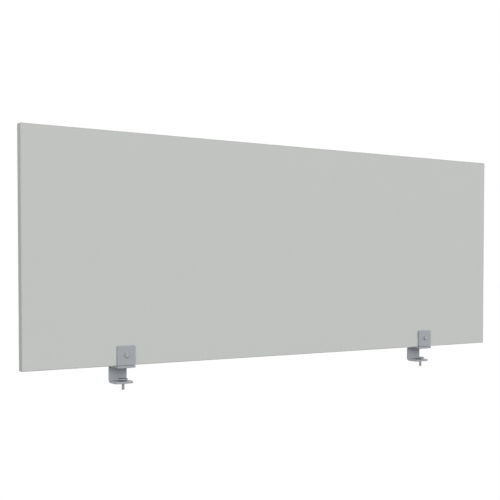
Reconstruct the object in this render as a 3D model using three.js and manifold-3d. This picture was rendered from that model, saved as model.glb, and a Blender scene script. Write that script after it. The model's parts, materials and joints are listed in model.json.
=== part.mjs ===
// Desk privacy panel: a laminated board held upright above the rear edge of a desk by two screw clamps.
// Millimetres, +Z up, X along the panel, -Y towards the person at the desk.
// Origin: the desk's upper rear edge, midway between the clamps.
// The desk top lies at Z = 0 and its rear edge at Y = 0.

import * as THREE from 'three';
import { mergeVertices } from 'three/addons/utils/BufferGeometryUtils.js';
import Module from 'manifold-3d';

const wasm = await Module();
wasm.setup();

// ---------- driving dimensions ----------

// Panel
const panelLength = 1600;
const panelHeight = 600;
const panelThickness = 22;
const laminateThickness = 0.8;
const edgeBandThickness = 2;
const boltHoleDiameter = 9;

// Clamps: all the steel is cut from one 50 x 6 flat bar
const clampFromPanelEnd = 275;
const clampWidth = 50;
const steelThickness = 6;
const bendInnerRadius = 4;
const throatHeight = 36;
const backToPanelRear = 21;
const shelfBeyondPanelFront = 10;
const lowerArmLength = 40;
const lowerArmCornerRadius = 5;
const shelfCornerRadius = 2;

// Upright jaws that hold the panel
const jawHeight = 51;
const frontJawGap = 0.8;
const jawPadThickness = 2;
const jawCornerRadius = 2;
const boltHeightInJaw = 28;

// Desk liner and clamping screw
const linerThickness = 1.5;
const linerWidth = 35;
const linerLength = 36;
const linerFromBack = 5.5;
const linerCornerRadius = 2;
const screwFromBack = 29.5;
const screwTailBelowArm = 16;
const deskGapAtRest = 27.5;
const padDiameter = 25;
const padFaceThickness = 1.5;
const padFaceProud = 0.5;
const padFaceClearance = 0.3;
const padFaceChamfer = 0.3;
const padCupThickness = 3.5;
const cupRimHeight = 2.3;
const cupRimWidth = 1.2;
const cupBossRadius = 7;

// The screw ends in a necked button, held captive in the pad cup's pocket
const neckRadius = 2.7;
const neckHoleRadius = 3.1;
const neckBelowCup = 0.5;
const buttonRadius = 3.6;
const buttonClearance = 0.2;
const pocketRadius = 3.9;
const pocketFloorThickness = 1.4;

// M8 hardware
const threadDiameter = 8;
const threadClearance = 0.1;
const hexAcrossFlats = 13;
const hexFaceDiameter = 12.35;
const boltHeadHeight = 5.3;
const boltLength = 50;
const nutHeight = 6.8;
const washerDiameter = 16;
const washerHoleDiameter = 8.4;
const washerThickness = 1.6;
const socketAcrossFlats = 4;
const socketDepth = 5;
const endChamfer = 0.8;

const roundSegments = 32;
const padSegments = 48;
const cornerSegments = 5;
const cutMargin = 2;

// ---------- places worked out from the driving dimensions ----------

const panelRearY = -backToPanelRear;
const panelFrontY = panelRearY - panelThickness;
const shelfFrontY = panelFrontY - shelfBeyondPanelFront;
const shelfBottomZ = linerThickness;
const shelfTopZ = shelfBottomZ + steelThickness;
const panelBottomZ = shelfTopZ;
const lowerArmTopZ = shelfBottomZ - throatHeight;
const lowerArmBottomZ = lowerArmTopZ - steelThickness;
const boltZ = panelBottomZ + boltHeightInJaw;
const frontPadY = panelFrontY - jawPadThickness;
const frontJawY = frontPadY - steelThickness;
const frontJawBottomZ = panelBottomZ + frontJawGap;
const rearJawY = panelRearY + jawPadThickness;
const washerY = rearJawY + steelThickness;
const nutY = washerY + washerThickness;
const padTopZ = -deskGapAtRest;
const cupTopZ = padTopZ - padFaceThickness;
const cupBottomZ = cupTopZ - padCupThickness;
const pocketFloorZ = cupBottomZ + pocketFloorThickness;
const buttonBottomZ = pocketFloorZ + buttonClearance;
const buttonTopZ = cupTopZ - buttonClearance;
const shoulderZ = cupBottomZ - neckBelowCup;
const screwBottomZ = lowerArmBottomZ - screwTailBelowArm;
const clampX = panelLength / 2 - clampFromPanelEnd;

// ---------- materials ----------

function material(color, roughness, metalness) {
  return new THREE.MeshStandardMaterial({ color, roughness, metalness });
}

const laminateGrey = () => material(0xc4c5c1, 0.55, 0);
const edgeGrey = () => material(0xb9bab7, 0.5, 0);
const chipboard = () => material(0xa98a5f, 0.9, 0);
const coatedSteel = () => material(0x9aa1a8, 0.4, 0.6);
const zincSteel = () => material(0xa9adb0, 0.35, 0.9);
const darkRubber = () => material(0x4a4d50, 0.85, 0);
const greyRubber = () => material(0x8a8d90, 0.85, 0);

// ---------- shapes and solids ----------

const axisX = new THREE.Vector3(1, 0, 0);
const axisY = new THREE.Vector3(0, 1, 0);
const axisZ = new THREE.Vector3(0, 0, 1);

function roundedRectangle(x0, x1, y0, y1, radius) {
  const shape = new THREE.Shape();
  shape.moveTo(x0 + radius, y0);
  shape.lineTo(x1 - radius, y0);
  shape.absarc(x1 - radius, y0 + radius, radius, -Math.PI / 2, 0, false);
  shape.lineTo(x1, y1 - radius);
  shape.absarc(x1 - radius, y1 - radius, radius, 0, Math.PI / 2, false);
  shape.lineTo(x0 + radius, y1);
  shape.absarc(x0 + radius, y1 - radius, radius, Math.PI / 2, Math.PI, false);
  shape.lineTo(x0, y0 + radius);
  shape.absarc(x0 + radius, y0 + radius, radius, Math.PI, Math.PI * 1.5, false);
  return shape;
}

function hexagon(acrossFlats) {
  const cornerRadius = acrossFlats / Math.sqrt(3);
  const shape = new THREE.Shape();
  for (let corner = 0; corner < 6; corner += 1) {
    const angle = (corner * Math.PI) / 3;
    const x = cornerRadius * Math.cos(angle);
    const y = cornerRadius * Math.sin(angle);
    if (corner === 0) {
      shape.moveTo(x, y);
    } else {
      shape.lineTo(x, y);
    }
  }
  shape.closePath();
  return shape;
}

function extrude(shape, depth) {
  return new THREE.ExtrudeGeometry(shape, { depth, bevelEnabled: false, curveSegments: cornerSegments });
}

// An outline drawn in Y and Z, extruded along X and centred on X = 0.
function extrudeAlongX(shape, width) {
  const geometry = extrude(shape, width);
  geometry.applyMatrix4(new THREE.Matrix4().makeBasis(axisY, axisZ, axisX));
  return geometry.translate(-width / 2, 0, 0);
}

// An outline drawn in X and Z, from frontY back to frontY + thickness.
function extrudeAlongY(shape, frontY, thickness) {
  const geometry = extrude(shape, thickness);
  geometry.applyMatrix4(new THREE.Matrix4().makeBasis(axisX, axisZ, axisY.clone().negate()));
  return geometry.translate(0, frontY + thickness, 0);
}

// An outline drawn in X and Y, from bottomZ up.
function extrudeAlongZ(shape, bottomZ, height) {
  return extrude(shape, height).translate(0, 0, bottomZ);
}

function box(x0, x1, y0, y1, z0, z1) {
  const geometry = new THREE.BoxGeometry(x1 - x0, y1 - y0, z1 - z0);
  return geometry.translate((x0 + x1) / 2, (y0 + y1) / 2, (z0 + z1) / 2);
}

function rod(radius, length) {
  return new THREE.CylinderGeometry(radius, radius, length, roundSegments);
}

function rodAlongY(radius, y0, y1, x, z) {
  return rod(radius, y1 - y0).translate(x, (y0 + y1) / 2, z);
}

function rodAlongZ(radius, z0, z1, x, y) {
  return rod(radius, z1 - z0).rotateX(Math.PI / 2).translate(x, y, (z0 + z1) / 2);
}

// A profile of [radius, height] points, turned about Z.
function turned(points, segments) {
  const profile = points.map(([radius, height]) => new THREE.Vector2(radius, height));
  return new THREE.LatheGeometry(profile, segments).rotateX(Math.PI / 2);
}

function toSolid(geometry) {
  const bare = geometry.clone();
  bare.deleteAttribute('normal');
  bare.deleteAttribute('uv');
  const merged = mergeVertices(bare);
  const vertProperties = new Float32Array(merged.attributes.position.array);
  const triVerts = new Uint32Array(merged.index.array);
  return new wasm.Manifold(new wasm.Mesh({ numProp: 3, vertProperties, triVerts }));
}

function toGeometry(solid) {
  const mesh = solid.getMesh();
  const geometry = new THREE.BufferGeometry();
  geometry.setAttribute('position', new THREE.BufferAttribute(mesh.vertProperties, 3));
  geometry.setIndex(new THREE.BufferAttribute(mesh.triVerts, 1));
  geometry.computeVertexNormals();
  return geometry;
}

function cut(geometry, cutters) {
  const solid = cutters.reduce((rest, cutter) => rest.subtract(toSolid(cutter)), toSolid(geometry));
  return toGeometry(solid);
}

function addMesh(group, name, geometry, surface) {
  const mesh = new THREE.Mesh(geometry, surface);
  mesh.name = name;
  group.add(mesh);
}

// ---------- panel ----------

// A flat layer of the board between two planes of Y, drilled for both jaw bolts.
function drilledLayer(frontY, rearY) {
  const halfLength = panelLength / 2 - edgeBandThickness;
  const bottomZ = panelBottomZ + edgeBandThickness;
  const topZ = panelBottomZ + panelHeight - edgeBandThickness;
  const holes = [-clampX, clampX].map((x) =>
    rodAlongY(boltHoleDiameter / 2, frontY - cutMargin, rearY + cutMargin, x, boltZ),
  );
  return cut(box(-halfLength, halfLength, frontY, rearY, bottomZ, topZ), holes);
}

function buildPanel() {
  const group = new THREE.Group();
  const coreFrontY = panelFrontY + laminateThickness;
  const coreRearY = panelRearY - laminateThickness;
  addMesh(group, 'panel_core', drilledLayer(coreFrontY, coreRearY), chipboard());
  addMesh(group, 'front_laminate', drilledLayer(panelFrontY, coreFrontY), laminateGrey());
  addMesh(group, 'rear_laminate', drilledLayer(coreRearY, panelRearY), laminateGrey());

  // The end bands stand between the long bands, which run the full length.
  const endX = panelLength / 2;
  const innerX = endX - edgeBandThickness;
  const topZ = panelBottomZ + panelHeight;
  const lowZ = panelBottomZ + edgeBandThickness;
  const highZ = topZ - edgeBandThickness;
  const bands = [
    ['left', -endX, -innerX, lowZ, highZ],
    ['right', innerX, endX, lowZ, highZ],
    ['top', -endX, endX, highZ, topZ],
    ['bottom', -endX, endX, panelBottomZ, lowZ],
  ];
  for (const [side, x0, x1, z0, z1] of bands) {
    addMesh(group, `edge_band_${side}`, box(x0, x1, panelFrontY, panelRearY, z0, z1), edgeGrey());
  }
  return group;
}

// ---------- clamp pieces, drawn about the clamp's own middle plane ----------

// The bar seen from its side: a shelf on the desk, a bend, the upright back, a bend and the lower arm.
function bracketOutline() {
  const outerRadius = bendInnerRadius + steelThickness;
  const centreY = -bendInnerRadius;
  const upperCentreZ = shelfBottomZ - bendInnerRadius;
  const lowerCentreZ = lowerArmTopZ + bendInnerRadius;
  const shape = new THREE.Shape();
  shape.moveTo(shelfFrontY, shelfBottomZ);
  shape.lineTo(centreY, shelfBottomZ);
  shape.absarc(centreY, upperCentreZ, bendInnerRadius, Math.PI / 2, 0, true);
  shape.lineTo(0, lowerCentreZ);
  shape.absarc(centreY, lowerCentreZ, bendInnerRadius, 0, -Math.PI / 2, true);
  shape.lineTo(-lowerArmLength, lowerArmTopZ);
  shape.lineTo(-lowerArmLength, lowerArmBottomZ);
  shape.lineTo(centreY, lowerArmBottomZ);
  shape.absarc(centreY, lowerCentreZ, outerRadius, -Math.PI / 2, 0, false);
  shape.lineTo(steelThickness, upperCentreZ);
  shape.absarc(centreY, upperCentreZ, outerRadius, 0, Math.PI / 2, false);
  shape.lineTo(shelfFrontY, shelfTopZ);
  return shape;
}

// What is left of a front edge's two corners outside their rounding.
function cornerCutters(frontY, bottomZ, topZ, radius) {
  const halfWidth = clampWidth / 2;
  return [-1, 1].map((side) => {
    const centreX = side * (halfWidth - radius);
    const centreY = frontY + radius;
    const outsideX = side * (halfWidth + cutMargin);
    const outsideY = frontY - cutMargin;
    const shape = new THREE.Shape();
    shape.moveTo(side * halfWidth, centreY);
    shape.absarc(centreX, centreY, radius, side > 0 ? 0 : Math.PI, -Math.PI / 2, side > 0);
    shape.lineTo(centreX, outsideY);
    shape.lineTo(outsideX, outsideY);
    shape.lineTo(outsideX, centreY);
    return extrudeAlongZ(shape, bottomZ - cutMargin, topZ - bottomZ + 2 * cutMargin);
  });
}

function bracket() {
  const tappedRadius = threadDiameter / 2 + threadClearance;
  const screwHole = rodAlongZ(
    tappedRadius, lowerArmBottomZ - cutMargin, lowerArmTopZ + cutMargin, 0, -screwFromBack,
  );
  return cut(extrudeAlongX(bracketOutline(), clampWidth), [
    screwHole,
    ...cornerCutters(shelfFrontY, shelfBottomZ, shelfTopZ, shelfCornerRadius),
    ...cornerCutters(-lowerArmLength, lowerArmBottomZ, lowerArmTopZ, lowerArmCornerRadius),
  ]);
}

// A jaw plate or jaw pad: a rounded rectangle with the bolt hole.
function jawLayer(frontY, thickness, bottomZ) {
  const halfWidth = clampWidth / 2;
  const topZ = panelBottomZ + jawHeight;
  const plate = roundedRectangle(-halfWidth, halfWidth, bottomZ, topZ, jawCornerRadius);
  const hole = rodAlongY(
    boltHoleDiameter / 2, frontY - cutMargin, frontY + thickness + cutMargin, 0, boltZ,
  );
  return cut(extrudeAlongY(plate, frontY, thickness), [hole]);
}

function deskLiner() {
  const halfWidth = linerWidth / 2;
  const rearY = -linerFromBack;
  const outline = roundedRectangle(-halfWidth, halfWidth, rearY - linerLength, rearY, linerCornerRadius);
  return extrudeAlongZ(outline, 0, linerThickness);
}

// A hexagon prism standing on Z = 0, with its far corners turned off by a 30 degree cone.
function chamferedHexagon(height) {
  const flatRadius = hexFaceDiameter / 2;
  const wideRadius = hexAcrossFlats;
  const coneDrop = (wideRadius - flatRadius) * Math.tan(Math.PI / 6);
  const cone = turned(
    [[0, -cutMargin], [wideRadius, -cutMargin], [wideRadius, height - coneDrop],
      [flatRadius, height], [0, height]],
    roundSegments,
  );
  const prism = extrudeAlongZ(hexagon(hexAcrossFlats), 0, height);
  return toSolid(prism).intersect(toSolid(cone));
}

// Puts a piece drawn along +Z on the bolt's axis, pointing along +Y (turnSign 1) or -Y (turnSign -1).
function onBoltAxis(solid, turnSign, y) {
  return toGeometry(solid).rotateX((-turnSign * Math.PI) / 2).translate(0, y, boltZ);
}

function jawBolt() {
  const radius = threadDiameter / 2;
  const shank = turned(
    [[0, -boltLength], [radius - endChamfer, -boltLength], [radius, endChamfer - boltLength],
      [radius, boltHeadHeight / 2], [0, boltHeadHeight / 2]],
    roundSegments,
  );
  return onBoltAxis(chamferedHexagon(boltHeadHeight).add(toSolid(shank)), -1, frontJawY);
}

function jawNut() {
  const bore = rodAlongZ(
    threadDiameter / 2 + threadClearance, -cutMargin, nutHeight + cutMargin, 0, 0,
  );
  return onBoltAxis(chamferedHexagon(nutHeight).subtract(toSolid(bore)), 1, nutY);
}

function jawWasher() {
  const inner = washerHoleDiameter / 2;
  const outer = washerDiameter / 2;
  const ring = turned(
    [[inner, 0], [outer, 0], [outer, washerThickness], [inner, washerThickness], [inner, 0]],
    roundSegments,
  );
  return onBoltAxis(toSolid(ring), 1, washerY);
}

function clampScrew() {
  const radius = threadDiameter / 2;
  const body = turned(
    [[0, screwBottomZ], [radius - endChamfer, screwBottomZ], [radius, screwBottomZ + endChamfer],
      [radius, shoulderZ - endChamfer], [neckRadius, shoulderZ], [neckRadius, buttonBottomZ],
      [buttonRadius, buttonBottomZ], [buttonRadius, buttonTopZ - endChamfer],
      [buttonRadius - endChamfer, buttonTopZ], [0, buttonTopZ]],
    roundSegments,
  );
  const socket = extrudeAlongZ(
    hexagon(socketAcrossFlats), screwBottomZ - cutMargin, socketDepth + cutMargin,
  );
  return cut(body, [socket]).translate(0, -screwFromBack, 0);
}

// The cup's raised rim stands round the rubber face, which lies in it on the cup's flat top.
function padCup() {
  const radius = padDiameter / 2;
  const rimTopZ = padTopZ - padFaceProud;
  const recessRadius = radius - cupRimWidth;
  return turned(
    [[neckHoleRadius, cupBottomZ], [cupBossRadius, cupBottomZ], [radius, rimTopZ - cupRimHeight],
      [radius, rimTopZ], [recessRadius, rimTopZ], [recessRadius, cupTopZ],
      [pocketRadius, cupTopZ], [pocketRadius, pocketFloorZ],
      [neckHoleRadius, pocketFloorZ], [neckHoleRadius, cupBottomZ]],
    padSegments,
  ).translate(0, -screwFromBack, 0);
}

function padFace() {
  const radius = padDiameter / 2 - cupRimWidth - padFaceClearance;
  return turned(
    [[0, cupTopZ], [radius, cupTopZ], [radius, padTopZ - padFaceChamfer],
      [radius - padFaceChamfer, padTopZ], [0, padTopZ]],
    padSegments,
  ).translate(0, -screwFromBack, 0);
}

const clampPieces = [
  ['bracket', bracket(), coatedSteel],
  ['rear_jaw_plate', jawLayer(rearJawY, steelThickness, panelBottomZ), coatedSteel],
  ['front_jaw_plate', jawLayer(frontJawY, steelThickness, frontJawBottomZ), coatedSteel],
  ['front_jaw_pad', jawLayer(frontPadY, jawPadThickness, frontJawBottomZ), greyRubber],
  ['rear_jaw_pad', jawLayer(panelRearY, jawPadThickness, panelBottomZ), greyRubber],
  ['jaw_bolt', jawBolt(), zincSteel],
  ['jaw_washer', jawWasher(), zincSteel],
  ['jaw_nut', jawNut(), zincSteel],
  ['desk_liner', deskLiner(), darkRubber],
  ['clamp_screw', clampScrew(), zincSteel],
  ['pad_cup', padCup(), zincSteel],
  ['pad_face', padFace(), darkRubber],
];

function buildClamp(side, x) {
  const group = new THREE.Group();
  for (const [piece, geometry, surface] of clampPieces) {
    addMesh(group, `${side}_${piece}`, geometry, surface());
  }
  group.position.x = x;
  return group;
}

const deskPrivacyPanel = new THREE.Group();
deskPrivacyPanel.add(buildPanel());
deskPrivacyPanel.add(buildClamp('left', -clampX));
deskPrivacyPanel.add(buildClamp('right', clampX));

export default deskPrivacyPanel;
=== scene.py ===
# Desk privacy panel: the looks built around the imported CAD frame. Metres, +Z up, X along the panel,
# -Y towards the person at the desk. The desk's upper rear edge is at Y = 0, Z = 0.
import json
import math

import bmesh
import bpy
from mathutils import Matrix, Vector

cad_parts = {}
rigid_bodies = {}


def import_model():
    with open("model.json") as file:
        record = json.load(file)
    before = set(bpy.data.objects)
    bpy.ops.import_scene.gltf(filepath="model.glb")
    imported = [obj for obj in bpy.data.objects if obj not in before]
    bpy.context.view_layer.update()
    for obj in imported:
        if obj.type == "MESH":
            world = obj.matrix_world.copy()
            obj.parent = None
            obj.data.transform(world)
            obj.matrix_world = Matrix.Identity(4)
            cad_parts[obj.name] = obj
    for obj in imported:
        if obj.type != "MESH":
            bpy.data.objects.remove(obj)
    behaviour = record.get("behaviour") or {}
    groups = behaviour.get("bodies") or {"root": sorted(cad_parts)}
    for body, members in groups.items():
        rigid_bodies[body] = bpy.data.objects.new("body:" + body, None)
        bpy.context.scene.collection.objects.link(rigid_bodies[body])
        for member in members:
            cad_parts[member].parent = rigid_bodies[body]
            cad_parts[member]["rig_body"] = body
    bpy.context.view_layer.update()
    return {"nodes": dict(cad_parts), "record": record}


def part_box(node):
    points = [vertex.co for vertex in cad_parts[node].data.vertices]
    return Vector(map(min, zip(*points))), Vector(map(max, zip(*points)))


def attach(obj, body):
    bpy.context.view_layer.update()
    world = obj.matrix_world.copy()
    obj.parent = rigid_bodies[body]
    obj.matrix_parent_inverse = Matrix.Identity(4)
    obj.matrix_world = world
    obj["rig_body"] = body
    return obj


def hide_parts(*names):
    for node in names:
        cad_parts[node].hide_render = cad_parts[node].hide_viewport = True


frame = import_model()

MM = 0.001
SIDES = ("left", "right")
AROUND = 72                  # columns in a turned, hexagonal or threaded piece: a multiple of 6
ANGLES = [2 * math.pi * column / AROUND for column in range(AROUND + 1)]
MERGE_DISTANCE = 0.002 * MM
CUT_MARGIN = 1 * MM
SHARP_ANGLE = math.radians(35)
FLAT_ANGLE = math.radians(0.2)
ROUNDING_SEGMENTS = 3

# Panel edging
EDGING_ROUNDING = 1.3 * MM

# Clamp steel
BEND_INNER_RADIUS = 4 * MM
BEND_STEPS = 14
LOWER_ARM_LENGTH = 40 * MM
LOWER_ARM_CORNER = 5 * MM
SHELF_CORNER = 2 * MM
JAW_CORNER = 2 * MM
CORNER_STEPS = 8
STEEL_ROUNDING = 0.7 * MM
BOLT_HOLE_RADIUS = 4.5 * MM
TAPPED_HOLE_RADIUS = 4.1 * MM
WELD_LEG = 3 * MM
WELD_OVERLAP = 0.3 * MM
WELD_RIPPLE = 0.35 * MM
WELD_RIPPLE_PITCH = 2.2 * MM
WELD_RIPPLE_BOW = 0.6 * MM
WELD_END_GAP = 3 * MM
WELD_END_BLUNTNESS = 0.02              # above 0, so that the ends don't close to a point
WELD_STEPS = 110
WELD_ARC_STEPS = 8

# Rubber
RUBBER_ROUNDING = 0.3 * MM
LINER_CORNER = 2 * MM
LINER_RIB_PITCH = 3 * MM
LINER_GROOVE_WIDTH = 1.2 * MM
LINER_GROOVE_DEPTH = 0.5 * MM
LINER_GROOVE_SLOPE = 0.2 * MM
FACE_CENTRE_RADIUS = 0.8 * MM
FACE_GROOVE_RADII = [2.6 * MM, 5.4 * MM, 8.2 * MM]
FACE_GROOVE_WIDTH = 0.7 * MM
FACE_GROOVE_DEPTH = 0.45 * MM
FACE_LOWER_CHAMFER = 0.15 * MM
FACE_CHAMFER = 0.3 * MM
FACE_CHAMFER_MIDDLE = 0.12 * MM        # under half the chamfer, so that it bows outwards

# M8 hardware
THREAD_RADIUS = 4 * MM
THREAD_PITCH = 1.25 * MM
THREAD_DEPTH = 0.68 * MM
THREAD_RUNOUT = 0.01 * MM
CREST_END = 1 / 8                      # this and the next two are shares of one turn
ROOT_START = 7 / 16
ROOT_END = 11 / 16
THREADED_LENGTH_OF_BOLT = 22 * MM
HEX_ACROSS_FLATS = 13 * MM
HEX_FACE_RADIUS = 6.2 * MM
HEX_CHAMFER_ANGLE = math.radians(30)
HEX_CHAMFER_STEPS = 8
HEAD_RIM_WIDTH = 0.5 * MM
HEAD_DISH_SLOPE = 0.5 * MM
HEAD_DISH_DEPTH = 0.12 * MM
WASHER_FACE_RADIUS = 5.8 * MM
WASHER_FACE_HEIGHT = 0.4 * MM
SOCKET_ACROSS_FLATS = 4 * MM
SOCKET_DEPTH = 5 * MM
END_CHAMFER = 0.8 * MM
NUT_BORE_RADIUS = 4.1 * MM
NUT_COUNTERSINK = 0.5 * MM
WASHER_BORE_RADIUS = 4.2 * MM
WASHER_ROUNDING = 0.2 * MM

# The screw's button, captive in the pad cup
NECK_RADIUS = 2.7 * MM
NECK_HOLE_RADIUS = 3.1 * MM
BUTTON_RADIUS = 3.6 * MM
POCKET_RADIUS = 3.9 * MM
POCKET_FLOOR = 1.4 * MM
BUTTON_FLOOR = 1.6 * MM
NECK_BELOW_CUP = 0.5 * MM
CUP_RIM_HEIGHT = 2.3 * MM
CUP_RIM_WIDTH = 1.2 * MM
CUP_BOSS_RADIUS = 7 * MM
CUP_ROUNDING = 0.25 * MM

# Camera, light and floor
CAMERA_PLACE = Vector((-1.583, -2.223, 0.2605))
CAMERA_YAW = math.radians(33.51)       # to the right of +Y
CAMERA_PITCH = math.radians(1.79)      # below the horizon
CAMERA_LENS = 67.28                    # in millimetres, as the sensor is
CAMERA_SENSOR = 36
CAMERA_SHIFT_UP = 0.0929
CAMERA_CLIP_END = 200
FLOOR_BELOW_DESK = 0.74
FLOOR_REACH = 60
FLOOR_SHADE = 0.03
FLOOR_GLOW = 0.975
BACKDROP_BRIGHTNESS = 1.0
AMBIENT_STRENGTH = 0.30
GLOSS_OF_GROUND = 0.25
GLOSS_OF_SKY = 1.15
WHITE = (1, 1, 1, 1)


# ---------- camera, light and floor ----------

def make_camera():
    data = bpy.data.cameras.new("camera")
    data.lens = CAMERA_LENS
    data.sensor_width = CAMERA_SENSOR
    data.shift_y = CAMERA_SHIFT_UP
    data.clip_end = CAMERA_CLIP_END
    camera = bpy.data.objects.new("camera", data)
    camera.location = CAMERA_PLACE
    camera.rotation_euler = (math.pi / 2 - CAMERA_PITCH, 0, -CAMERA_YAW)
    bpy.context.scene.collection.objects.link(camera)
    bpy.context.scene.camera = camera


def soft_light(name, azimuth, elevation, strength, softness):
    """A distant light, softness degrees across. Azimuth 0 is straight in front, 90 is to the right."""
    turn = math.radians(azimuth)
    rise = math.radians(elevation)
    away = Vector((math.sin(turn) * math.cos(rise), -math.cos(turn) * math.cos(rise), math.sin(rise)))
    data = bpy.data.lights.new(name, "SUN")
    data.energy = strength
    data.angle = math.radians(softness)
    light = bpy.data.objects.new(name, data)
    light.rotation_euler = (-away).to_track_quat("-Z", "Y").to_euler()
    light.visible_glossy = False
    bpy.context.scene.collection.objects.link(light)


def make_studio():
    scene = bpy.context.scene
    scene.view_settings.view_transform = "Standard"
    scene.world = white_world()
    soft_light("key", azimuth=-25, elevation=20, strength=2.575, softness=30)
    soft_light("rear", azimuth=185, elevation=35, strength=1.9, softness=40)

    floor_mesh = bpy.data.meshes.new("floor")
    corners = [(x * FLOOR_REACH, y * FLOOR_REACH, 0) for x, y in ((-1, -1), (1, -1), (1, 1), (-1, 1))]
    floor_mesh.from_pydata(corners, [], [(0, 1, 2, 3)])
    floor_mesh.materials.append(floor_material())
    floor = bpy.data.objects.new("floor", floor_mesh)
    floor.location.z = -FLOOR_BELOW_DESK
    floor.visible_diffuse = False
    floor.visible_glossy = False
    floor.visible_shadow = False
    scene.collection.objects.link(floor)


def white_light(tree, strength):
    """A white background, whose strength is a number or another node's output."""
    light = tree.nodes.new("ShaderNodeBackground")
    light.inputs["Color"].default_value = WHITE
    if isinstance(strength, bpy.types.NodeSocket):
        tree.links.new(strength, light.inputs["Strength"])
    else:
        light.inputs["Strength"].default_value = strength
    return light.outputs["Background"]


def for_rays(tree, kind, special, usual):
    """The special background for one kind of ray, and the usual one for the rest."""
    is_kind = tree.nodes.new("ShaderNodeLightPath").outputs[kind]
    mix = tree.nodes.new("ShaderNodeMixShader")
    tree.links.new(is_kind, mix.inputs["Fac"])
    tree.links.new(usual, mix.inputs[1])
    tree.links.new(special, mix.inputs[2])
    return mix.outputs["Shader"]


def studio_in_gloss(tree):
    """A brightness that rises smoothly with height, from the ground's to the sky's."""
    direction = tree.nodes.new("ShaderNodeTexCoord").outputs["Generated"]
    height = tree.nodes.new("ShaderNodeSeparateXYZ")
    tree.links.new(direction, height.inputs["Vector"])
    brightness = tree.nodes.new("ShaderNodeMapRange")
    brightness.interpolation_type = "SMOOTHSTEP"
    brightness.inputs["From Min"].default_value = -1
    brightness.inputs["To Min"].default_value = GLOSS_OF_GROUND
    brightness.inputs["To Max"].default_value = GLOSS_OF_SKY
    tree.links.new(height.outputs["Z"], brightness.inputs["Value"])
    return brightness.outputs["Result"]


def white_world():
    """A white backdrop that lights the scene more gently than it looks, with a graded sky for gloss."""
    world = bpy.data.worlds.new("studio")
    world.use_nodes = True
    tree = world.node_tree
    tree.nodes.clear()
    ambient = white_light(tree, AMBIENT_STRENGTH)
    reflected = white_light(tree, studio_in_gloss(tree))
    backdrop = white_light(tree, BACKDROP_BRIGHTNESS)
    unseen = for_rays(tree, "Is Glossy Ray", reflected, ambient)
    everything = for_rays(tree, "Is Camera Ray", backdrop, unseen)
    output = tree.nodes.new("ShaderNodeOutputWorld")
    tree.links.new(everything, output.inputs["Surface"])
    return world


def floor_material():
    """A floor that glows as white as the backdrop, so that the two meet without a line."""
    material = bpy.data.materials.new("floor")
    material.use_nodes = True
    shader = material.node_tree.nodes["Principled BSDF"]
    shader.inputs["Base Color"].default_value = (FLOOR_SHADE, FLOOR_SHADE, FLOOR_SHADE, 1)
    shader.inputs["Roughness"].default_value = 1.0
    shader.inputs["Specular IOR Level"].default_value = 0.0
    shader.inputs["Emission Color"].default_value = WHITE
    shader.inputs["Emission Strength"].default_value = FLOOR_GLOW
    return material


# ---------- material tools ----------

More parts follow.
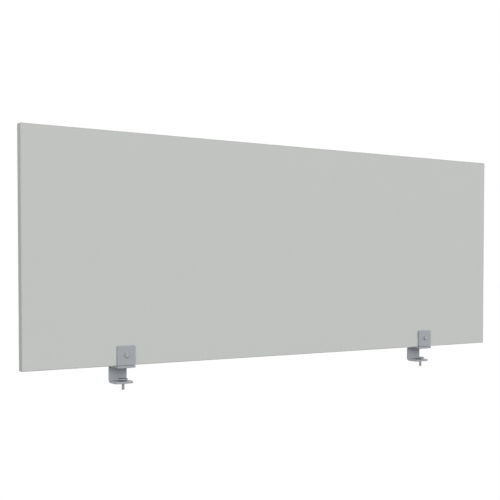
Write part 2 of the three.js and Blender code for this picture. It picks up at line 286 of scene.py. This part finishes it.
class Finish:
    """A node material in the making: one Principled shader, and textures in the object's own metres."""

    def __init__(self, name, roughness, metallic=0.0):
        self.material = bpy.data.materials.new(name)
        self.material.use_nodes = True
        self.tree = self.material.node_tree
        self.shader = self.tree.nodes["Principled BSDF"]
        self.shader.inputs["Roughness"].default_value = roughness
        self.shader.inputs["Metallic"].default_value = metallic
        self.place = self.tree.nodes.new("ShaderNodeTexCoord").outputs["Object"]

    def node(self, kind, inputs):
        node = self.tree.nodes.new(kind)
        for name, value in inputs.items():
            if isinstance(value, bpy.types.NodeSocket):
                self.tree.links.new(value, node.inputs[name])
            else:
                node.inputs[name].default_value = value
        return node

    def stretched(self, scale):
        return self.node("ShaderNodeMapping", {"Vector": self.place, "Scale": scale}).outputs["Vector"]

    def noise(self, scale, detail=2.0, place=None):
        inputs = {"Vector": place or self.place, "Scale": scale, "Detail": detail}
        return self.node("ShaderNodeTexNoise", inputs).outputs["Fac"]

    def cells(self, scale):
        """A random grey for each cell of a Voronoi pattern."""
        colour = self.node("ShaderNodeTexVoronoi", {"Vector": self.place, "Scale": scale}).outputs["Color"]
        return self.node("ShaderNodeSeparateColor", {"Color": colour}).outputs["Red"]

    def remap(self, value, low, high, from_low=0.0, from_high=1.0):
        inputs = {"Value": value, "From Min": from_low, "From Max": from_high, "To Min": low, "To Max": high}
        return self.node("ShaderNodeMapRange", inputs).outputs["Result"]

    def uneven(self, low, high, scale, detail=2.0):
        """Noise that varies from low to high."""
        return self.remap(self.noise(scale, detail), low, high, from_low=0.3, from_high=0.7)

    def multiply(self, first, second):
        node = self.tree.nodes.new("ShaderNodeMath")
        node.operation = "MULTIPLY"
        self.tree.links.new(first, node.inputs[0])
        self.tree.links.new(second, node.inputs[1])
        return node.outputs["Value"]

    def blend(self, factor, first, second):
        inputs = {"Fac": factor, "Color1": first, "Color2": second}
        return self.node("ShaderNodeMixRGB", inputs).outputs["Color"]

    def tint(self, colour, level):
        """Multiplies a colour by a level."""
        grey_level = self.node("ShaderNodeCombineColor", {"Red": level, "Green": level, "Blue": level})
        inputs = {"Fac": 1.0, "Color1": colour, "Color2": grey_level.outputs["Color"]}
        node = self.node("ShaderNodeMixRGB", inputs)
        node.blend_type = "MULTIPLY"
        return node.outputs["Color"]

    def edge_wear(self, width, patch_scale):
        """Near 1 along outer edges, broken up into patches."""
        rounded = self.node("ShaderNodeBevel", {"Radius": width}).outputs["Normal"]
        true_normal = self.tree.nodes.new("ShaderNodeNewGeometry").outputs["Normal"]
        agreement = self.tree.nodes.new("ShaderNodeVectorMath")
        agreement.operation = "DOT_PRODUCT"
        self.tree.links.new(rounded, agreement.inputs[0])
        self.tree.links.new(true_normal, agreement.inputs[1])
        edge = self.remap(agreement.outputs["Value"], 1.0, 0.0, from_low=0.86, from_high=0.99)
        patches = self.remap(self.noise(patch_scale, 4.0), 0.0, 1.0, from_low=0.42, from_high=0.66)
        return self.multiply(edge, patches)

    def colour(self, value):
        self.tree.links.new(value, self.shader.inputs["Base Color"])

    def roughness(self, value):
        self.tree.links.new(value, self.shader.inputs["Roughness"])

    def relief(self, layers):
        """Stacks bumps: each layer is a height and the depth in metres between its lows and highs."""
        normal = None
        for height, depth in layers:
            inputs = {"Height": height, "Distance": depth, "Strength": 1.0}
            if normal is not None:
                inputs["Normal"] = normal
            normal = self.node("ShaderNodeBump", inputs).outputs["Normal"]
        self.tree.links.new(normal, self.shader.inputs["Normal"])

    def gloss(self, **levels):
        """Sets sockets that are the same all over, such as Coat_Weight=0.2."""
        for name, level in levels.items():
            self.shader.inputs[name.replace("_", " ")].default_value = level


# ---------- materials ----------

def opaque(red, green, blue):
    return (red, green, blue, 1)


def melamine():
    """Light grey decor paper under clear resin, pressed with a fine pearl texture."""
    finish = Finish("melamine_light_grey", roughness=0.45)
    cloud = finish.blend(finish.noise(2.5, 3.0), opaque(0.524, 0.541, 0.515), opaque(0.534, 0.540, 0.531))
    finish.colour(finish.tint(cloud, finish.uneven(0.965, 1.035, 850)))
    finish.roughness(finish.uneven(0.40, 0.54, 14, 4.0))
    finish.relief([(finish.noise(620, 2.0), 0.035 * MM), (finish.noise(1900, 2.0), 0.012 * MM)])
    finish.gloss(Specular_IOR_Level=0.4)
    return finish.material


def abs_edging():
    """Extruded ABS strip in the panel's grey, a shade darker as painted shade for the panel's ends, with
    faint scraper marks along it.
    """
    finish = Finish("abs_edging", roughness=0.5)
    # Both greys sit below the laminate's. This is painted shade, so that the panel's ends look darker than
    # its faces.
    dark = opaque(0.455, 0.465, 0.450)
    light = opaque(0.482, 0.489, 0.477)
    finish.colour(finish.blend(finish.noise(30, 3.0), dark, light))
    finish.roughness(finish.uneven(0.42, 0.56, 90, 3.0))
    along_x = finish.stretched((12, 2200, 2200))
    finish.relief([(finish.noise(1.0, 2.0, along_x), 0.01 * MM), (finish.noise(700, 2.0), 0.02 * MM)])
    return finish.material


def raw_chipboard():
    """Pressed wood flakes, light to dark brown."""
    finish = Finish("raw_chipboard", roughness=0.9)
    flakes = finish.blend(finish.cells(420), opaque(0.30, 0.19, 0.10), opaque(0.62, 0.46, 0.27))
    dust = finish.blend(finish.noise(1600, 3.0), flakes, opaque(0.50, 0.38, 0.22))
    finish.colour(dust)
    finish.relief([(finish.noise(900, 4.0), 0.3 * MM)])
    return finish.material


def silver_powder_coat():
    """Blue-grey metallic powder coat: fine flakes, orange peel, and thin worn lines along the edges."""
    finish = Finish("silver_powder_coat", roughness=0.45, metallic=0.35)
    coat = finish.blend(finish.cells(2600), opaque(0.368, 0.392, 0.424), opaque(0.448, 0.470, 0.502))
    shade = finish.blend(finish.noise(45, 3.0), coat, opaque(0.392, 0.414, 0.442))
    finish.colour(finish.blend(finish.edge_wear(1.0 * MM, 260), shade, opaque(0.57, 0.58, 0.59)))
    finish.roughness(finish.uneven(0.38, 0.52, 120, 3.0))
    finish.relief([(finish.noise(380, 2.0), 0.06 * MM), (finish.noise(2400, 2.0), 0.012 * MM)])
    finish.gloss(Coat_Weight=0.15, Coat_Roughness=0.25)
    return finish.material


def zinc_plate(name, patch_scale, dull, bright):
    """Zinc-plated steel, with patchy passivation and fine tool marks."""
    finish = Finish(name, roughness=0.4, metallic=0.8)
    plate = finish.blend(finish.noise(patch_scale, 4.0), opaque(*dull), opaque(*bright))
    finish.colour(finish.blend(finish.edge_wear(0.5 * MM, 600), plate, opaque(0.70, 0.70, 0.70)))
    finish.roughness(finish.uneven(0.30, 0.50, 300, 3.0))
    finish.relief([(finish.noise(1.0, 2.0, finish.stretched((900, 900, 9000))), 0.006 * MM)])
    return finish.material


def rubber(name, dark, light):
    """Moulded rubber with a dusty bloom."""
    finish = Finish(name, roughness=0.8)
    finish.colour(finish.blend(finish.noise(220, 5.0), opaque(*dark), opaque(*light)))
    finish.roughness(finish.uneven(0.70, 0.90, 500, 3.0))
    finish.relief([(finish.noise(1300, 3.0), 0.03 * MM)])
    finish.gloss(Specular_IOR_Level=0.3)
    return finish.material


FINISHES = {
    "chipboard": raw_chipboard(),
    "laminate": melamine(),
    "edge_band": abs_edging(),
    "clamp_steel": silver_powder_coat(),
    "zinc_hardware": zinc_plate("zinc_hardware_plate", 180, (0.470, 0.484, 0.498), (0.560, 0.570, 0.580)),
    "pad_steel": zinc_plate("zinc_pad_plate", 120, (0.530, 0.540, 0.548), (0.620, 0.626, 0.632)),
    "jaw_rubber": rubber("grey_jaw_rubber", (0.22, 0.23, 0.24), (0.30, 0.31, 0.32)),
    "liner_rubber": rubber("dark_liner_rubber", (0.045, 0.048, 0.052), (0.075, 0.079, 0.084)),
    "pad_rubber": rubber("dark_pad_rubber", (0.150, 0.156, 0.163), (0.190, 0.197, 0.206)),
}
# A lighter copy of the hardware zinc for the clamp screw: painted light that makes up for the shade in its
# thread grooves.
LIGHTENED_SCREW_FINISH = zinc_plate("zinc_screw_plate_lightened", 180, (0.575, 0.585, 0.592), (0.665, 0.670, 0.675))
SLOTS = {part["node"]: part["material_slot"] for part in frame["record"]["subparts"]}


# ---------- mesh tools ----------

def as_object(name, mesh):
    data = bpy.data.meshes.new(name)
    mesh.to_mesh(data)
    mesh.free()
    made = bpy.data.objects.new(name, data)
    bpy.context.scene.collection.objects.link(made)
    return made


def close_up(mesh):
    """Joins points that coincide, fills the open ends and turns every face outwards."""
    bmesh.ops.remove_doubles(mesh, verts=mesh.verts, dist=MERGE_DISTANCE)
    open_edges = [edge for edge in mesh.edges if edge.is_boundary]
    bmesh.ops.holes_fill(mesh, edges=open_edges, sides=0)
    bmesh.ops.recalc_face_normals(mesh, faces=mesh.faces)
    return mesh


def skin(rows):
    """Quads over a grid of points. Rows that start and end at one point wrap round into a closed body."""
    mesh = bmesh.new()
    grid = [[mesh.verts.new(point) for point in row] for row in rows]
    for lower, upper in zip(grid, grid[1:]):
        for column in range(len(lower) - 1):
            mesh.faces.new((lower[column], lower[column + 1], upper[column + 1], upper[column]))
    return close_up(mesh)


def prism(outline, low, high, place):
    """A straight body: a point (a, b) of the outline at depth c goes to place(a, b, c)."""
    closed = outline + outline[:1]
    return skin([[place(a, b, depth) for a, b in closed] for depth in (low, high)])


def along_x(y, z, x):
    return Vector((x, y, z))


def along_y(x, z, y):
    return Vector((x, y, z))


def along_z(x, y, z):
    return Vector((x, y, z))


def circle(centre_a, centre_b, radius):
    outline = []
    for angle in ANGLES[:-1]:
        outline.append((centre_a + radius * math.cos(angle), centre_b + radius * math.sin(angle)))
    return outline


def rounded_rectangle(low_a, high_a, low_b, high_b, radii):
    """Corner radii in the order low-low, high-low, high-high, low-high."""
    corners = [
        (low_a, low_b, 1, 1), (high_a, low_b, -1, 1),
        (high_a, high_b, -1, -1), (low_a, high_b, 1, -1),
    ]
    outline = []
    for quarter, ((a, b, inward_a, inward_b), radius) in enumerate(zip(corners, radii)):
        centre_a = a + inward_a * radius
        centre_b = b + inward_b * radius
        for step in range(CORNER_STEPS + 1):
            angle = math.pi + (quarter + step / CORNER_STEPS) * math.pi / 2
            outline.append((centre_a + radius * math.cos(angle), centre_b + radius * math.sin(angle)))
    return outline


def cut(mesh, cutters):
    """Takes each cutter's volume away from a closed mesh."""
    for cutter in cutters:
        body = as_object("body", mesh)
        tool = as_object("tool", cutter)
        modifier = body.modifiers.new("cut", "BOOLEAN")
        modifier.operation = "DIFFERENCE"
        modifier.solver = "EXACT"
        modifier.object = tool
        mesh = bmesh.new()
        mesh.from_object(body, bpy.context.evaluated_depsgraph_get())
        for used in (body, tool):
            bpy.data.objects.remove(used)
    return mesh


def round_edges(mesh, radius, where=lambda edge: True):
    """Rounds the sharp edges for which where(edge) holds."""
    bmesh.ops.remove_doubles(mesh, verts=mesh.verts, dist=MERGE_DISTANCE)
    bmesh.ops.dissolve_limit(mesh, angle_limit=FLAT_ANGLE, verts=mesh.verts, edges=mesh.edges)
    sharp = [
        edge for edge in mesh.edges
        if edge.is_manifold and edge.calc_face_angle() > SHARP_ANGLE and where(edge)
    ]
    bmesh.ops.bevel(
        mesh, geom=sharp, offset=radius, offset_type="OFFSET", segments=ROUNDING_SEGMENTS,
        profile=0.5, affect="EDGES", clamp_overlap=True,
    )
    return mesh


def shade(mesh):
    """Smooth shading that stops at sharp edges."""
    for face in mesh.faces:
        face.smooth = True
    for edge in mesh.edges:
        edge.smooth = edge.is_manifold and edge.calc_face_angle() < SHARP_ANGLE


def add_piece(name, mesh, node, stands_for_node=True, finish=None):
    """Puts a finished mesh in the scene, on the CAD node's body and in its slot's finish or its own."""
    shade(mesh)
    piece = as_object(name, mesh)
    piece.data.materials.append(finish or FINISHES[SLOTS[node]])
    flat_faces = piece.modifiers.new("flat_faces", "WEIGHTED_NORMAL")
    flat_faces.keep_sharp = True
    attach(piece, frame["nodes"][node]["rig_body"])
    if stands_for_node:
        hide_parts(node)


# ---------- turned, hexagonal and threaded pieces ----------

def ring(radius, height):
    return [(radius, height)] * (AROUND + 1)


def hex_ring(across_flats, height, limit=math.inf):
    """A hexagon with a corner at angle 0, its corners turned down to the limit."""
    sixth = math.pi / 3
    flat = across_flats / 2
    return [(min(flat / math.cos(angle % sixth - sixth / 2), limit), height) for angle in ANGLES]


def hex_chamfer(face_height, drop_sign):
    """Rings down the M8 hexagon's chamfer, from its round face to its full corners."""
    rings = []
    full_corner = HEX_ACROSS_FLATS / math.sqrt(3)
    for step in range(HEX_CHAMFER_STEPS + 1):
        limit = HEX_FACE_RADIUS + (full_corner - HEX_FACE_RADIUS) * step / HEX_CHAMFER_STEPS
        drop = (limit - HEX_FACE_RADIUS) * math.tan(HEX_CHAMFER_ANGLE)
        rings.append(hex_ring(HEX_ACROSS_FLATS, face_height - drop_sign * drop, limit))
    return rings


def thread_radius(turns):
    """An ISO metric flank: crest, slope, root and slope over one turn."""
    phase = turns % 1
    depth = 0.0
    if CREST_END < phase < ROOT_START:
        depth = (phase - CREST_END) / (ROOT_START - CREST_END)
    elif ROOT_START <= phase <= ROOT_END:
        depth = 1.0
    elif phase > ROOT_END:
        depth = (1 - phase) / (1 - ROOT_END)
    return THREAD_RADIUS - THREAD_DEPTH * depth


def thread_rings(low, high):
    """A right-hand thread whose grid follows the helix, chamfered down to a plain circle at both ends."""
    end_radius = THREAD_RADIUS - END_CHAMFER
    corners = [0, CREST_END, ROOT_START, ROOT_END, 1]
    phases = []
    for start, end in zip(corners, corners[1:]):
        phases += [start, (start + end) / 2]
    rings = []
    for turn in range(math.ceil((high - low) / THREAD_PITCH) + 2):
        for phase in phases:
            start = low + (turn - 1 + phase) * THREAD_PITCH
            row = []
            for angle in ANGLES:
                height = min(max(start + THREAD_PITCH * angle / (2 * math.pi), low), high)
                full = thread_radius((height - low) / THREAD_PITCH - angle / (2 * math.pi))
                chamfer = end_radius + min(height - low, high - height)
                row.append((min(full, chamfer), height))
            rings.append(row)
    return rings


def spun(rings, place):
    """A body through rings of (radius, height), with its local X, Y and Z carried over by place."""
    rows = []
    for points in rings:
        row = [place(r * math.cos(angle), r * math.sin(angle), h) for (r, h), angle in zip(points, ANGLES)]
        rows.append(row)
    return skin(rows)


def turned(profile, place):
    return spun([ring(radius, height) for radius, height in profile], place)


def upright(x, y):
    """Local Z stays up, on a vertical axis through x, y."""
    return lambda a, b, height: Vector((x + a, y + b, height))


def facing_front(x, y, z):
    """Local Z points to -Y, out of the panel's front."""
    return lambda a, b, height: Vector((x + a, y - height, z + b))


def facing_back(x, y, z):
    """Local Z points to +Y, out of the panel's back."""
    return lambda a, b, height: Vector((x + a, y + height, z - b))


# ---------- panel ----------

def edging(side, axis, outward):
    """A strip of ABS. Its two long outer edges are rounded, and so are the corners of the long strips."""
    node = f"edge_band_{side}"
    low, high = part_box(node)
    outline = [(low.x, low.z), (high.x, low.z), (high.x, high.z), (low.x, high.z)]
    mesh = prism(outline, low.y, high.y, along_y)
    glued_face = low[axis] if outward > 0 else high[axis]
    is_long = high.x - low.x > high.z - low.z

    def is_shaped(edge):
        first, second = (vert.co for vert in edge.verts)
        on_glue = [abs(end[axis] - glued_face) < MERGE_DISTANCE for end in (first, second)]
        runs_front_to_back = abs(first.y - second.y) > MERGE_DISTANCE
        if is_long:
            return not all(on_glue)
        return not any(on_glue) and not runs_front_to_back

    add_piece(f"{side}_edging", round_edges(mesh, EDGING_ROUNDING, is_shaped), node)


def dress_board():
    for node in ("panel_core", "front_laminate", "rear_laminate"):
        data = frame["nodes"][node].data
        data.materials.clear()
        data.materials.append(FINISHES[SLOTS[node]])
    edging("left", axis=0, outward=-1)
    edging("right", axis=0, outward=1)
    edging("top", axis=2, outward=1)
    edging("bottom", axis=2, outward=-1)


# ---------- clamp steel ----------

def fold(along, across, through, start, runs):
    """Carries a point of the flat blank to its place in the folded bracket.

    The blank starts at start, a (Y, Z) point on its inner face, runs to +Y, and folds down twice.
    """
    bend_length = (math.pi / 2) * BEND_INNER_RADIUS
    place = Vector(start)
    heading = 0.0
    for index, run in enumerate(runs):
        ahead = Vector((math.cos(heading), -math.sin(heading)))
        out = Vector((math.sin(heading), math.cos(heading)))
        if along <= run or index == len(runs) - 1:
            place = place + ahead * along + out * through
            break
        along -= run
        centre = place + ahead * run - out * BEND_INNER_RADIUS
        if along <= bend_length:
            turn = heading + along / BEND_INNER_RADIUS
            outwards = Vector((math.sin(turn), math.cos(turn)))
            place = centre + outwards * (BEND_INNER_RADIUS + through)
            break
        along -= bend_length
        heading += math.pi / 2
        place = centre + Vector((math.sin(heading), math.cos(heading))) * BEND_INNER_RADIUS
    return Vector((across, place.x, place.y))


def folded_bracket(side):
    """The C: a flat blank with its hole and rounded edges, folded twice."""
    node = f"{side}_bracket"
    low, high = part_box(node)
    jaw_low, jaw_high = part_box(f"{side}_rear_jaw_plate")
    steel = jaw_high.y - jaw_low.y
    shelf_bottom = high.z - steel
    arm_top = low.z + steel
    shelf_run = -BEND_INNER_RADIUS - low.y
    back_run = shelf_bottom - arm_top - 2 * BEND_INNER_RADIUS
    arm_run = LOWER_ARM_LENGTH - BEND_INNER_RADIUS
    bend_length = (math.pi / 2) * BEND_INNER_RADIUS
    blank_length = shelf_run + back_run + arm_run + 2 * bend_length

    screw_x, screw_y = screw_axis(side)
    hole_along = blank_length - LOWER_ARM_LENGTH - screw_y
    outline = rounded_rectangle(
        0, blank_length, low.x, high.x, [SHELF_CORNER, LOWER_ARM_CORNER, LOWER_ARM_CORNER, SHELF_CORNER],
    )
    hole = prism(circle(hole_along, screw_x, TAPPED_HOLE_RADIUS), -steel, 2 * steel, along_z)
    blank = round_edges(cut(prism(outline, 0, steel, along_z), [hole]), STEEL_ROUNDING)

    bend_starts = (shelf_run, shelf_run + bend_length + back_run)
    for bend_start in bend_starts:
        for step in range(BEND_STEPS + 1):
            bmesh.ops.bisect_plane(
                blank, geom=blank.verts[:] + blank.edges[:] + blank.faces[:], dist=MERGE_DISTANCE,
                plane_co=(bend_start + bend_length * step / BEND_STEPS, 0, 0), plane_no=(1, 0, 0),
            )
    for vert in blank.verts:
        vert.co = fold(*vert.co, (low.y, shelf_bottom), (shelf_run, back_run, arm_run))
    # Folding swaps the blank's first two axes, which turns its faces inside out.
    bmesh.ops.reverse_faces(blank, faces=blank.faces)
    add_piece(f"{side}_folded_bracket", blank, node)


def screw_axis(side):
    low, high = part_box(f"{side}_clamp_screw")
    return (low.x + high.x) / 2, (low.y + high.y) / 2


def bolt_axis(side):
    low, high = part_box(f"{side}_jaw_bolt")
    return (low.x + high.x) / 2, (low.z + high.z) / 2


def drilled_plate(side, part, rounding, piece_name):
    """A jaw plate or jaw rubber: a rounded rectangle with the bolt hole."""
    node = f"{side}_{part}"
    low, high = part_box(node)
    x, z = bolt_axis(side)
    outline = rounded_rectangle(low.x, high.x, low.z, high.z, [JAW_CORNER] * 4)
    plate = prism(outline, low.y, high.y, along_y)
    thickness = high.y - low.y
    hole = prism(circle(x, z, BOLT_HOLE_RADIUS), low.y - thickness, high.y + thickness, along_y)
    add_piece(f"{side}_{piece_name}", round_edges(cut(plate, [hole]), rounding), node)


def weld_bead(side):
    """A rippled fillet along the foot of the rear jaw plate, tapering off at both ends."""
    low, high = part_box(f"{side}_rear_jaw_plate")
    start = low.x + WELD_END_GAP
    length = high.x - low.x - 2 * WELD_END_GAP
    corner_y = high.y - WELD_OVERLAP
    corner_z = low.z - WELD_OVERLAP
    rows = []
    for step in range(WELD_STEPS + 1):
        travel = length * step / WELD_STEPS
        from_end = min(travel, length - travel)
        taper = min(1, math.sqrt(from_end / WELD_LEG + WELD_END_BLUNTNESS))
        ripple = abs(math.sin(math.pi * travel / WELD_RIPPLE_PITCH))
        leg = (WELD_LEG - WELD_RIPPLE + WELD_RIPPLE * ripple) * taper
        row = [Vector((start + travel, corner_y, corner_z))]
        for arc_step in range(WELD_ARC_STEPS + 1):
            angle = (math.pi / 2) * arc_step / WELD_ARC_STEPS
            x = start + travel + WELD_RIPPLE_BOW * math.sin(2 * angle)
            row.append(Vector((x, corner_y + leg * math.cos(angle), corner_z + leg * math.sin(angle))))
        rows.append(row + row[:1])
    bead = skin(rows)
    add_piece(f"{side}_weld_bead", bead, f"{side}_rear_jaw_plate", stands_for_node=False)


# ---------- clamp rubber ----------

def ribbed_liner(side):
    """The strip on the desk top, with ribs across it underneath."""
    node = f"{side}_desk_liner"
    low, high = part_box(node)
    outline = rounded_rectangle(low.x, high.x, low.y, high.y, [LINER_CORNER] * 4)
    strip = prism(outline, low.z, high.z, along_z)
    mouth = LINER_GROOVE_WIDTH / 2 + LINER_GROOVE_SLOPE
    bottom = LINER_GROOVE_WIDTH / 2 - LINER_GROOVE_SLOPE
    grooves = []
    count = round((high.y - low.y) / LINER_RIB_PITCH)
    for index in range(1, count):
        middle = low.y + index * (high.y - low.y) / count
        section = [
            (middle - mouth, low.z - LINER_GROOVE_DEPTH), (middle + mouth, low.z - LINER_GROOVE_DEPTH),
            (middle + bottom, low.z + LINER_GROOVE_DEPTH), (middle - bottom, low.z + LINER_GROOVE_DEPTH),
        ]
        grooves.append(prism(section, low.x - CUT_MARGIN, high.x + CUT_MARGIN, along_x))
    add_piece(f"{side}_ribbed_liner", cut(strip, grooves), node)


def pad_rubber_face(side):
    """The disc that presses on the desk's underside, with three ring grooves."""
    node = f"{side}_pad_face"
    low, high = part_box(node)
    radius = (high.x - low.x) / 2
    profile = [
        (FACE_CENTRE_RADIUS, low.z), (radius - FACE_LOWER_CHAMFER, low.z),
        (radius, low.z + FACE_LOWER_CHAMFER), (radius, high.z - FACE_CHAMFER),
        (radius - FACE_CHAMFER_MIDDLE, high.z - FACE_CHAMFER_MIDDLE), (radius - FACE_CHAMFER, high.z),
    ]
    half = FACE_GROOVE_WIDTH / 2
    floor_z = high.z - FACE_GROOVE_DEPTH
    for groove in reversed(FACE_GROOVE_RADII):
        profile += [(groove + half, high.z), (groove + half / 2, floor_z)]
        profile += [(groove - half / 2, floor_z), (groove - half, high.z)]
    profile.append((FACE_CENTRE_RADIUS, high.z))
    add_piece(f"{side}_rubber_face", turned(profile, upright(*screw_axis(side))), node)


# ---------- clamp hardware ----------

def hexagon_bolt(side):
    """Head, washer face, plain shank and rolled thread."""
    node = f"{side}_jaw_bolt"
    low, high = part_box(node)
    x, z = bolt_axis(side)
    seat_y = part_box(f"{side}_front_jaw_plate")[0].y
    head_height = seat_y - low.y
    tip = seat_y - high.y
    thread_start = tip + THREADED_LENGTH_OF_BOLT
    rim_radius = HEX_FACE_RADIUS - HEAD_RIM_WIDTH
    rings = thread_rings(tip, thread_start)
    rings.append(ring(THREAD_RADIUS - END_CHAMFER, thread_start + THREAD_RUNOUT))
    rings += [ring(THREAD_RADIUS, thread_start + END_CHAMFER), ring(THREAD_RADIUS, 0)]
    rings += [ring(WASHER_FACE_RADIUS, 0), ring(WASHER_FACE_RADIUS, WASHER_FACE_HEIGHT)]
    rings.append(hex_ring(HEX_ACROSS_FLATS, WASHER_FACE_HEIGHT))
    rings += reversed(hex_chamfer(head_height, 1))
    rings.append(ring(rim_radius, head_height))
    rings.append(ring(rim_radius - HEAD_DISH_SLOPE, head_height - HEAD_DISH_DEPTH))
    add_piece(f"{side}_hexagon_bolt", spun(rings, facing_front(x, seat_y, z)), node)


def hexagon_nut(side):
    """Chamfered on both faces, with a countersunk bore."""
    node = f"{side}_jaw_nut"
    low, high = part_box(node)
    x, z = bolt_axis(side)
    height = high.y - low.y
    mouth_radius = NUT_BORE_RADIUS + NUT_COUNTERSINK
    rings = [ring(NUT_BORE_RADIUS, NUT_COUNTERSINK), ring(mouth_radius, 0)]
    rings += hex_chamfer(0, -1)
    rings += reversed(hex_chamfer(height, 1))
    rings += [ring(mouth_radius, height), ring(NUT_BORE_RADIUS, height - NUT_COUNTERSINK)]
    rings.append(rings[0])
    add_piece(f"{side}_hexagon_nut", spun(rings, facing_back(x, low.y, z)), node)


def flat_washer(side):
    node = f"{side}_jaw_washer"
    low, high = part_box(node)
    x, z = bolt_axis(side)
    inner = WASHER_BORE_RADIUS
    outer = (high.x - low.x) / 2
    profile = [(inner, 0), (outer, 0), (outer, high.y - low.y), (inner, high.y - low.y), (inner, 0)]
    mesh = round_edges(turned(profile, facing_back(x, low.y, z)), WASHER_ROUNDING)
    add_piece(f"{side}_flat_washer", mesh, node)


def threaded_screw(side):
    """The clamping screw: hexagon socket, thread, neck and captive button."""
    node = f"{side}_clamp_screw"
    low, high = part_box(node)
    cup_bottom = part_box(f"{side}_pad_cup")[0].z
    shoulder = cup_bottom - NECK_BELOW_CUP
    button_bottom = cup_bottom + BUTTON_FLOOR
    rings = [hex_ring(SOCKET_ACROSS_FLATS, low.z + SOCKET_DEPTH), hex_ring(SOCKET_ACROSS_FLATS, low.z)]
    rings += thread_rings(low.z, shoulder)
    rings += [ring(NECK_RADIUS, shoulder), ring(NECK_RADIUS, button_bottom)]
    rings += [ring(BUTTON_RADIUS, button_bottom), ring(BUTTON_RADIUS, high.z - END_CHAMFER)]
    rings.append(ring(BUTTON_RADIUS - END_CHAMFER, high.z))
    mesh = spun(rings, upright(*screw_axis(side)))
    # The screw takes the lightened zinc, which is painted light against the shade of its thread.
    add_piece(f"{side}_threaded_screw", mesh, node, finish=LIGHTENED_SCREW_FINISH)


def swivel_cup(side):
    """The round steel cup: a rim round the rubber face, a tapered underside and the button's pocket."""
    node = f"{side}_pad_cup"
    low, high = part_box(node)
    radius = (high.x - low.x) / 2
    recess_radius = radius - CUP_RIM_WIDTH
    recess_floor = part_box(f"{side}_pad_face")[0].z
    pocket_floor = low.z + POCKET_FLOOR
    profile = [
        (NECK_HOLE_RADIUS, low.z), (CUP_BOSS_RADIUS, low.z), (radius, high.z - CUP_RIM_HEIGHT),
        (radius, high.z), (recess_radius, high.z), (recess_radius, recess_floor),
        (POCKET_RADIUS, recess_floor), (POCKET_RADIUS, pocket_floor),
        (NECK_HOLE_RADIUS, pocket_floor), (NECK_HOLE_RADIUS, low.z),
    ]
    mesh = round_edges(turned(profile, upright(*screw_axis(side))), CUP_ROUNDING)
    add_piece(f"{side}_swivel_cup", mesh, node)


def build_clamp(side):
    folded_bracket(side)
    drilled_plate(side, "rear_jaw_plate", STEEL_ROUNDING, "rear_jaw")
    drilled_plate(side, "front_jaw_plate", STEEL_ROUNDING, "front_jaw")
    drilled_plate(side, "front_jaw_pad", RUBBER_ROUNDING, "front_jaw_rubber")
    drilled_plate(side, "rear_jaw_pad", RUBBER_ROUNDING, "rear_jaw_rubber")
    weld_bead(side)
    ribbed_liner(side)
    pad_rubber_face(side)
    hexagon_bolt(side)
    hexagon_nut(side)
    flat_washer(side)
    threaded_screw(side)
    swivel_cup(side)


make_camera()
make_studio()
dress_board()
for clamp_side in SIDES:
    build_clamp(clamp_side)
